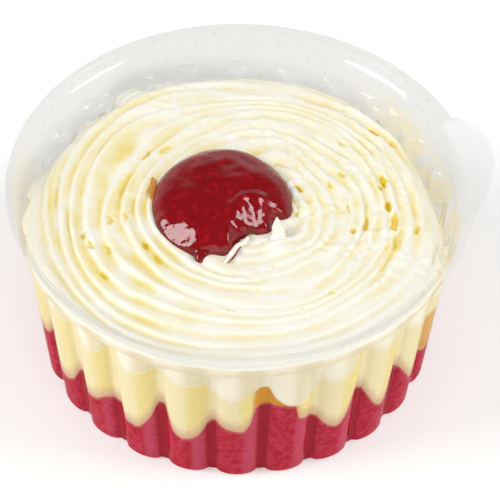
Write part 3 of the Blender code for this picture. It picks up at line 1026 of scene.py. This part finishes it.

# %% [markdown]
# ## Clear PET
#
# The tub is PET, thermoformed to a wall of 0.6 mm, and formed sheet keeps the shine of the rolls
# that it was made on: colourless, glossy, slightly grey where it is seen edge on.  Glass shaders
# bend light at every wall, but through a wall this thin hardly anything moves, so this one lets
# light straight through and adds a mirror that grows towards grazing angles, as Schlick's
# formula says.  The mirror stops short of full strength, because four surfaces lie behind each
# other at the rim and would turn it grey.
#
# The notes do the rest.  Mist and painted shade tint the plastic grey, in clouds of about 9 mm, and
# the same note sets fine drops in it.  They are 0.2 mm or so across in truth, which is too fine to
# show, so they are drawn at 1.6 mm.  Splashed cream is a warm tint in blots of about 4 mm.

# %% what mist, painted shade and cream do to the light that goes through
pet = new_material("clear_pet", tub)
spot = add(pet, "ShaderNodeTexCoord", output="Object")
mist_and_shade, splash = [
    add(pet, "ShaderNodeAttribute", output="Fac", attribute_name=note) for note in ("mist_and_shade", "splash")
]
breath = add(pet, "ShaderNodeTexNoise", {"Vector": spot, "Scale": scale_of(9), "Detail": 4.0})
patchy = add(pet, "ShaderNodeMapRange", {
    VALUE: breath, LOW: 0.3, HIGH: 0.7, NEW_LOW: 0.93, NEW_HIGH: 1.07,
})
# The grey tint from mist, with painted shade close to the cream.
misty_and_shaded = add(pet, "ShaderNodeMath", {0: mist_and_shade, 1: patchy}, operation="MULTIPLY", use_clamp=True)
blots = add(pet, "ShaderNodeTexNoise", {
    "Vector": spot, "Scale": scale_of(4), "Detail": 6.0, "Distortion": 0.6,
})
blotted = add(pet, "ShaderNodeMapRange", {VALUE: blots, LOW: 0.33, HIGH: 0.55, NEW_HIGH: 0.8})
smear = add(pet, "ShaderNodeMath", {0: splash, 1: blotted}, operation="MULTIPLY")
seen_through = linear("#FEFEFE")
for share, coat in [(misty_and_shaded, "#E3E3E0"), (smear, "#FBF4DA")]:
    seen_through = add(pet, "ShaderNodeMix", {
        SHARE: share, FIRST: seen_through, SECOND: linear(coat),
    }, output=MIXED, data_type="RGBA")
clear = add(pet, "ShaderNodeBsdfTransparent", {"Color": seen_through})
report_material(pet)

# %% the drops and the mirror
PET_HAZE = 0.006
PET_MIRROR = 0.012
PET_GRAZING_MIRROR = 0.22
SCHLICK_POWER = 5.0

haze = add(pet, "ShaderNodeBsdfTranslucent", {"Color": linear("#FFFFFF")})
drops = add(pet, "ShaderNodeTexNoise", {"Vector": spot, "Scale": scale_of(1.6), "Detail": 4.0})
speck = add(pet, "ShaderNodeMapRange", {VALUE: drops, LOW: 0.64, HIGH: 0.7, NEW_HIGH: 0.3})
specks = add(pet, "ShaderNodeMath", {0: mist_and_shade, 1: speck}, operation="MULTIPLY")
cloudy = add(pet, "ShaderNodeMath", {0: specks, 1: PET_HAZE}, operation="ADD")
milky = add(pet, "ShaderNodeMixShader", {0: cloudy, 1: clear, 2: haze})
facing = add(pet, "ShaderNodeLayerWeight", {"Blend": 0.5}, output="Facing")
steep = add(pet, "ShaderNodeMath", {0: facing, 1: SCHLICK_POWER}, operation="POWER")
mirror = add(pet, "ShaderNodeMath", {
    0: steep, 1: PET_GRAZING_MIRROR - PET_MIRROR, 2: PET_MIRROR,
}, operation="MULTIPLY_ADD")
gloss = add(pet, "ShaderNodeBsdfGlossy", {"Color": linear("#FFFFFF"), "Roughness": 0.08})
pet_body = add(pet, "ShaderNodeMixShader", {0: mirror, 1: milky, 2: gloss})
add(pet, "ShaderNodeOutputMaterial", {"Surface": pet_body})
report_material(pet)

# %% [markdown]
# ## Raspberry jelly
#
# Gelatine, sugar and juice are poured warm and set cold against the wall.  Light goes deep into
# jelly and comes out a strong red, mottled in patches of about a millimetre.  Painted shade makes
# it darkest in the valleys, where the light from the sides doesn't reach, and a painted reflection
# makes it rosier on the lobes' right flanks.  It is blurred to a warm pink where custard has mixed
# into its top.  Wet food that touches plastic has no shine of its own, because the only mirror is
# the plastic's outside, so the specular level is nothing.  Subsurface is kept low: more of it would
# draw grey outlines where jelly and custard touch.

# %% where the jelly's red changes
jelly_red = new_material("raspberry_jelly", jelly)
spot = add(jelly_red, "ShaderNodeTexCoord", output="Object")
valley, flank, below = [
    add(jelly_red, "ShaderNodeAttribute", output="Fac", attribute_name=note)
    for note in ("valley", "flank", "below_mm")
]
cloud = add(jelly_red, "ShaderNodeTexNoise", {
    "Vector": spot, "Scale": scale_of(1.3), "Detail": 5.0, "Roughness": 0.7,
})
veil = add(jelly_red, "ShaderNodeMapRange", {VALUE: cloud, LOW: 0.36, HIGH: 0.7})
# Painted shade in the valleys, and a painted reflection on the lobes' right flanks.
shade = add(jelly_red, "ShaderNodeMapRange", {VALUE: valley, LOW: 0.7, HIGH: 0.98, NEW_HIGH: 0.85})
edge = add(jelly_red, "ShaderNodeMapRange", {VALUE: flank, LOW: 0.45, HIGH: 0.95, NEW_HIGH: 0.55})
off_valley = add(jelly_red, "ShaderNodeMapRange", {
    VALUE: valley, LOW: 0.5, HIGH: 0.95, NEW_LOW: 1.0, NEW_HIGH: 0.0,
})
painted_flank_reflection = add(jelly_red, "ShaderNodeMath", {0: edge, 1: off_valley}, operation="MULTIPLY")
ragged = add(jelly_red, "ShaderNodeTexNoise", {"Vector": spot, "Scale": scale_of(0.9), "Detail": 3.0})
uneven = add(jelly_red, "ShaderNodeMath", {0: ragged, 1: 2.6, 2: below}, operation="MULTIPLY_ADD")
blend = add(jelly_red, "ShaderNodeMapRange", {
    VALUE: uneven, LOW: 1.1, HIGH: 2.4, NEW_LOW: 0.75, NEW_HIGH: 0.0,
}, interpolation_type="SMOOTHSTEP")
report_material(jelly_red)

# %% the jelly's reds and its body
# Coats: mottling, painted shade in the valleys, painted reflection on the right flanks, custard mixed in.
red = linear("#A0081E")
for share, coat in [(veil, "#C43A52"), (shade, "#960E20"), (painted_flank_reflection, "#BE5068"), (blend, "#C07868")]:
    red = add(jelly_red, "ShaderNodeMix", {
        SHARE: share, FIRST: red, SECOND: linear(coat),
    }, output=MIXED, data_type="RGBA")
jelly_body = add(jelly_red, "ShaderNodeBsdfPrincipled", {
    "Base Color": red, "Roughness": 0.5, "Specular IOR Level": 0.0,
    "Subsurface Weight": 0.1, "Subsurface Radius": (1.0, 0.3, 0.3), "Subsurface Scale": 1.0 * MM,
})
add(jelly_red, "ShaderNodeOutputMaterial", {"Surface": jelly_body})
report_material(jelly_red)

# %% [markdown]
# ## Vanilla custard
#
# Milk, egg yolk and starch are cooked thick and poured.  Custard is a smooth opaque cream colour
# with the yolk's yellow, and a deeper yellow is painted on the right flank of each lobe as shade.
# Three stains lie on it: the jelly's brownish pink along its foot, the cream's white along its top,
# and amber syrup where the note says so.  It is faintly clouded, in patches of about a millimetre.

# %% where the custard's yellow changes
custard_yellow = new_material("vanilla_custard", custard)
spot = add(custard_yellow, "ShaderNodeTexCoord", output="Object")
flank, above, below, syrup = [
    add(custard_yellow, "ShaderNodeAttribute", output="Fac", attribute_name=note)
    for note in ("flank", "above_mm", "below_mm", "syrup")
]
# Painted shade: a deeper yellow on each lobe's right flank.
painted_flank_shade = add(custard_yellow, "ShaderNodeMapRange", {
    VALUE: flank, LOW: -0.3, HIGH: 0.9,
}, interpolation_type="SMOOTHSTEP")
cloud = add(custard_yellow, "ShaderNodeTexNoise", {"Vector": spot, "Scale": scale_of(1.2), "Detail": 4.0})
veil = add(custard_yellow, "ShaderNodeMapRange", {VALUE: cloud, LOW: 0.35, HIGH: 0.75, NEW_HIGH: 0.35})
ragged = add(custard_yellow, "ShaderNodeTexNoise", {"Vector": spot, "Scale": scale_of(0.9), "Detail": 3.0})
uneven = add(custard_yellow, "ShaderNodeMath", {0: ragged, 1: 2.4, 2: above}, operation="MULTIPLY_ADD")
stain = add(custard_yellow, "ShaderNodeMapRange", {
    VALUE: uneven, LOW: 0.9, HIGH: 5.8, NEW_LOW: 1.0, NEW_HIGH: 0.0,
}, interpolation_type="SMOOTHSTEP")
creamy = add(custard_yellow, "ShaderNodeMapRange", {
    VALUE: below, LOW: 0.0, HIGH: 0.9, NEW_LOW: 0.75, NEW_HIGH: 0.0,
}, interpolation_type="SMOOTHSTEP")
report_material(custard_yellow)

# %% the custard's yellows and its body
yellow = linear("#E6D9AC")
for share, coat in [
    (painted_flank_shade, "#E4CF82"), (veil, "#F0E4B8"), (stain, "#CBA485"), (creamy, "#F0E6C6"), (syrup, "#CC8E2C"),
]:
    yellow = add(custard_yellow, "ShaderNodeMix", {
        SHARE: share, FIRST: yellow, SECOND: linear(coat),
    }, output=MIXED, data_type="RGBA")
custard_body = add(custard_yellow, "ShaderNodeBsdfPrincipled", {
    "Base Color": yellow, "Roughness": 0.5, "Specular IOR Level": 0.0,
    "Subsurface Weight": 0.08, "Subsurface Radius": (1.0, 0.8, 0.4), "Subsurface Scale": 0.8 * MM,
})
add(custard_yellow, "ShaderNodeOutputMaterial", {"Surface": custard_body})
report_material(custard_yellow)

# %% [markdown]
# ## Whipped cream
#
# Whipping beats air into cream until the fat holds it as a foam.  Foam scatters light in all
# directions, so it is matt and soft, with hardly any shine, and light that goes a millimetre or
# two in comes out warmer: that is what the subsurface part of the Principled shader does.  On the
# crests it is nearly white, and in the grooves a yellow is painted in as shade.  Its side is
# duller behind the plastic, with painted shade along the ledge, on the right flank of each lobe
# and in a yellow hem just above the custard.  Foam bubbles are about 0.1 mm across, too fine to
# show, so the bump is drawn at 0.6 mm, and the specks of fat at 1.4 mm.

# %% where the cream's white changes
cream_white = new_material("whipped_cream", cream)
spot = add(cream_white, "ShaderNodeTexCoord", output="Object")
groove_shade, flank, above, ledge, on_top = [
    add(cream_white, "ShaderNodeAttribute", output="Fac", attribute_name=note)
    for note in ("groove_shade", "flank", "above_mm", "ledge", "on_top")
]
# Painted shade: the yellow in the grooves and pits, in a soft and a strong coat.
soft_groove_shade = add(cream_white, "ShaderNodeMapRange", {VALUE: groove_shade, LOW: 0.0, HIGH: 0.9})
strong_groove_shade = add(cream_white, "ShaderNodeMapRange", {VALUE: groove_shade, LOW: 0.75, HIGH: 1.5})
# Painted shade on the side: a duller tint on each lobe's right flank, a yellow hem just above the custard,
# and a darker band along the ledge.
turned = add(cream_white, "ShaderNodeMapRange", {
    VALUE: flank, LOW: -0.6, HIGH: 0.9,
}, interpolation_type="SMOOTHSTEP")
hem_shade = add(cream_white, "ShaderNodeMapRange", {
    VALUE: above, LOW: 0.1, HIGH: 1.1, NEW_LOW: 0.2, NEW_HIGH: 0.0,
}, interpolation_type="SMOOTHSTEP")
shaded = add(cream_white, "ShaderNodeMath", {0: ledge, 1: 0.6}, operation="MULTIPLY")
fat = add(cream_white, "ShaderNodeTexNoise", {"Vector": spot, "Scale": scale_of(1.4), "Detail": 2.0})
speck = add(cream_white, "ShaderNodeMapRange", {VALUE: fat, LOW: 0.69, HIGH: 0.75, NEW_HIGH: 0.6})
report_material(cream_white)

# %% the cream's colours on top and on its side
top_white = linear("#F8F5EA")
for share, coat in [(soft_groove_shade, "#F2E2A0"), (strong_groove_shade, "#ECCB3C")]:
    top_white = add(cream_white, "ShaderNodeMix", {
        SHARE: share, FIRST: top_white, SECOND: linear(coat),
    }, output=MIXED, data_type="RGBA")
side_white = linear("#EFE7D0")
for share, coat in [(turned, "#E2D6B2"), (hem_shade, "#DDCB92"), (shaded, "#D6C8A8")]:
    side_white = add(cream_white, "ShaderNodeMix", {
        SHARE: share, FIRST: side_white, SECOND: linear(coat),
    }, output=MIXED, data_type="RGBA")
white = side_white
for share, coat in [(on_top, top_white), (speck, linear("#EFDA90"))]:
    white = add(cream_white, "ShaderNodeMix", {
        SHARE: share, FIRST: white, SECOND: coat,
    }, output=MIXED, data_type="RGBA")
report_material(cream_white)

# %% the cream's bubbles and body
foam = add(cream_white, "ShaderNodeTexNoise", {"Vector": spot, "Scale": scale_of(0.6), "Detail": 3.0})
bubbly = add(cream_white, "ShaderNodeBump", {"Height": foam, "Strength": 0.3, "Distance": 0.15 * MM})
cream_body = add(cream_white, "ShaderNodeBsdfPrincipled", {
    "Base Color": white, "Roughness": 0.6, "Specular IOR Level": 0.1,
    "Subsurface Weight": 0.5, "Subsurface Radius": (1.0, 0.85, 0.5), "Subsurface Scale": 1.6 * MM,
    "Normal": bubbly,
})
add(cream_white, "ShaderNodeOutputMaterial", {"Surface": cream_body})
report_material(cream_white)

# %% [markdown]
# ## Berry jam
#
# Fruit and sugar are boiled until the pectin sets.  The skin is wet and smooth like syrup, whose
# IOR is about 1.46, so lamps show in it as sharp bright shapes that shallow bumps of about a
# millimetre break up a little.  Underneath it is a red so deep that hardly any light comes back.
# Pulp makes it brighter in patches.  At the foot, where the jam is thin over pale cream, a darker,
# browner red is painted in as shade on its steep sides.

# %% the jam's material
jam_red = new_material("berry_jam", jam)
jam_trace.data.materials.append(jam_red)
spot = add(jam_red, "ShaderNodeTexCoord", output="Object")
pulp = add(jam_red, "ShaderNodeTexNoise", {"Vector": spot, "Scale": scale_of(1.6), "Detail": 3.0})
bright = add(jam_red, "ShaderNodeMapRange", {VALUE: pulp, LOW: 0.5, HIGH: 0.72})
height = add(jam_red, "ShaderNodeAttribute", output="Fac", attribute_name="height")
# Painted shade: a darker, browner red low on the sides, read from the height note.
thin_foot_shade = add(jam_red, "ShaderNodeMapRange", {
    VALUE: height, LOW: 0.1, HIGH: 0.5, NEW_LOW: 0.9, NEW_HIGH: 0.0,
})
red = linear("#82000A")
for share, coat in [(bright, "#A00A18"), (thin_foot_shade, "#601410")]:
    red = add(jam_red, "ShaderNodeMix", {
        SHARE: share, FIRST: red, SECOND: linear(coat),
    }, output=MIXED, data_type="RGBA")
skin_noise = add(jam_red, "ShaderNodeTexNoise", {"Vector": spot, "Scale": scale_of(1.3), "Detail": 2.0})
grain = add(jam_red, "ShaderNodeBump", {"Height": skin_noise, "Strength": 0.35, "Distance": 0.25 * MM})
jam_body = add(jam_red, "ShaderNodeBsdfPrincipled", {
    "Base Color": red, "Roughness": 0.07, "IOR": 1.46, "Normal": grain,
})
add(jam_red, "ShaderNodeOutputMaterial", {"Surface": jam_body})
report_material(jam_red)

# %% [markdown]
# ## The dabs' cream, and amber syrup
#
# The peak and the curl are the same whipped cream, but they have no grooves and carry no notes,
# so theirs is a plainer material: nearly white, with faint clouds of about a millimetre.  The
# trace beside the jam is sugar syrup boiled until it browns.  Its film is too thin and uneven to
# mirror anything sharply, so it is an amber with a broad soft shine.

# %% the dabs and the syrup
dab_white = new_material("whipped_cream_dab", cream_peak)
cream_curl.data.materials.append(dab_white)
spot = add(dab_white, "ShaderNodeTexCoord", output="Object")
cloud = add(dab_white, "ShaderNodeTexNoise", {"Vector": spot, "Scale": scale_of(1.2), "Detail": 3.0})
tint = add(dab_white, "ShaderNodeMix", {
    SHARE: cloud, FIRST: linear("#FAF8EF"), SECOND: linear("#F6F0DA"),
}, output=MIXED, data_type="RGBA")
dab_body = add(dab_white, "ShaderNodeBsdfPrincipled", {
    "Base Color": tint, "Roughness": 0.6, "Specular IOR Level": 0.1,
})
add(dab_white, "ShaderNodeOutputMaterial", {"Surface": dab_body})
report_material(dab_white)

amber = new_material("amber_syrup", syrup_trace)
amber_body = add(amber, "ShaderNodeBsdfPrincipled", {"Base Color": linear("#CF8838"), "Roughness": 0.35})
add(amber, "ShaderNodeOutputMaterial", {"Surface": amber_body})
report_material(amber)

# %% [markdown]
# ## Who stands for what
#
# Every piece rides on the one body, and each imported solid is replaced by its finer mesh.  The
# dabs and traces replace nothing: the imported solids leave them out.

# %% tie the pieces to the frame
PIECES = [
    (tub, "tub", "clear_plastic"),
    (jelly, "jelly", "red_jelly"),
    (custard, "custard", "yellow_custard"),
    (cream, "cream", "white_cream"),
    (jam, "jam", "red_jam"),
]
TRIMMINGS = [
    (cream_peak, "white_cream"),
    (cream_curl, "white_cream"),
    (jam_trace, "red_jam"),
    (syrup_trace, "red_jam"),
]
for piece, node, finish in PIECES:
    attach(piece, "root")
    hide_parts(node)
for piece, finish in TRIMMINGS:
    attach(piece, "root")
print("pieces:", len(PIECES) + len(TRIMMINGS))

# %% [markdown]
# ## Floor, light and camera
#
# The tub stands on matt white card, which scatters light evenly and shows no mirror image.  Card
# would take on a strong pink from the jelly, so it glows faintly by itself and reflects less.

# %% the floor
bpy.ops.object.select_all(action="DESELECT")
bpy.ops.mesh.primitive_plane_add(size=6, location=(0, 0, 0))
floor = bpy.context.object
floor.name = "floor"
card = new_material("white_table", floor)
card_body = add(card, "ShaderNodeBsdfPrincipled", {
    "Base Color": linear("#D6D6D6"), "Roughness": 0.9, "Specular IOR Level": 0.0,
    "Emission Color": linear("#FFFFFF"), "Emission Strength": 0.38,
})
add(card, "ShaderNodeOutputMaterial", {"Surface": card_body})
report_material(card)

# %% [markdown]
# Three soft rectangular lamps light the food: one on the left and one on the right, which show as
# the two pale shapes in the jam, and a weak wide one in front that opens the shadows.  Small hard
# lamps would put a dot on every flute.

# %% the lights
def softbox(name, azimuth, elevation, distance, width, height, power):
    """A rectangular lamp that faces the food.  Azimuth 0 is +X, counted towards +Y."""
    around = math.radians(azimuth)
    up = math.radians(elevation)
    lamp_data = bpy.data.lights.new(name, "AREA")
    lamp_data.shape = "RECTANGLE"
    lamp_data.size = width
    lamp_data.size_y = height
    lamp_data.energy = power
    lamp = bpy.data.objects.new(name, lamp_data)
    direction = Vector((math.cos(around) * math.cos(up), math.sin(around) * math.cos(up), math.sin(up)))
    lamp.location = direction * distance
    lamp.rotation_euler = direction.to_track_quat("Z", "Y").to_euler()
    bpy.context.scene.collection.objects.link(lamp)
    print(f"{name}: {width} by {height} m, {power} W")


softbox("softbox_left", -174, 40, distance=1.0, width=0.42, height=0.4, power=5.7)
softbox("softbox_right", -16, 48, distance=1.0, width=0.38, height=0.38, power=4.5)
softbox("fill_front", -84, 32, distance=1.3, width=1.2, height=0.7, power=2.8)

# %% [markdown]
# Behind the lamps is a white room.  Its walls are bright near the floor, so that the clear wall
# and the rim have something pale to mirror, and it is dimmer overhead and a little at the back,
# so that the cream keeps its shadows.

# %% the white room behind the lamps
world = bpy.data.worlds.new("studio")
bpy.context.scene.world = world
world.use_nodes = True
sky = world.node_tree.nodes["Background"]
direction = add(world, "ShaderNodeTexCoord", output="Generated")
height = add(world, "ShaderNodeSeparateXYZ", {0: direction}, output="Z")
depth = height.node.outputs["Y"]
glow = add(world, "ShaderNodeMapRange", {
    VALUE: height, LOW: 0.08, HIGH: 0.6, NEW_LOW: 1.0, NEW_HIGH: 0.2,
}, interpolation_type="SMOOTHSTEP")
rear = add(world, "ShaderNodeMapRange", {
    VALUE: depth, LOW: 0.2, HIGH: 0.8, NEW_LOW: 1.0, NEW_HIGH: 0.8,
})
dimmed = add(world, "ShaderNodeMath", {0: glow, 1: rear}, operation="MULTIPLY")
world.node_tree.links.new(dimmed, sky.inputs["Strength"])
sky.inputs["Color"].default_value = (1, 1, 1, 1)
print(f"{world.name}: {len(world.node_tree.nodes)} nodes")

# %% [markdown]
# The camera looks down on the food from the front, from half a metre away with a long lens, so
# the round rim is hardly distorted.  The Standard view keeps white card and cream white, where a
# filmic one would grey them.

# %% the camera
CAMERA_AIM = Vector((0.94, -10.86, 35.0)) * MM
CAMERA_DISTANCE = 543.5 * MM
CAMERA_HEADING = math.radians(8.38)
CAMERA_TILT = math.radians(46.7)
CAMERA_ROLL = math.radians(1.38)
LENS_MM = 194.5
SENSOR_MM = 36

camera_data = bpy.data.cameras.new("camera")
camera_data.lens = LENS_MM
camera_data.sensor_width = SENSOR_MM
camera = bpy.data.objects.new("camera", camera_data)
turned = Euler((math.pi / 2 - CAMERA_TILT, 0, -CAMERA_HEADING)).to_matrix()
turned = turned @ Euler((0, 0, CAMERA_ROLL)).to_matrix()
camera.rotation_euler = turned.to_euler()
camera.location = CAMERA_AIM + turned @ Vector((0, 0, CAMERA_DISTANCE))
bpy.context.scene.collection.objects.link(camera)
bpy.context.scene.camera = camera
bpy.context.scene.view_settings.view_transform = "Standard"
print("camera at", [round(value, 3) for value in camera.location])
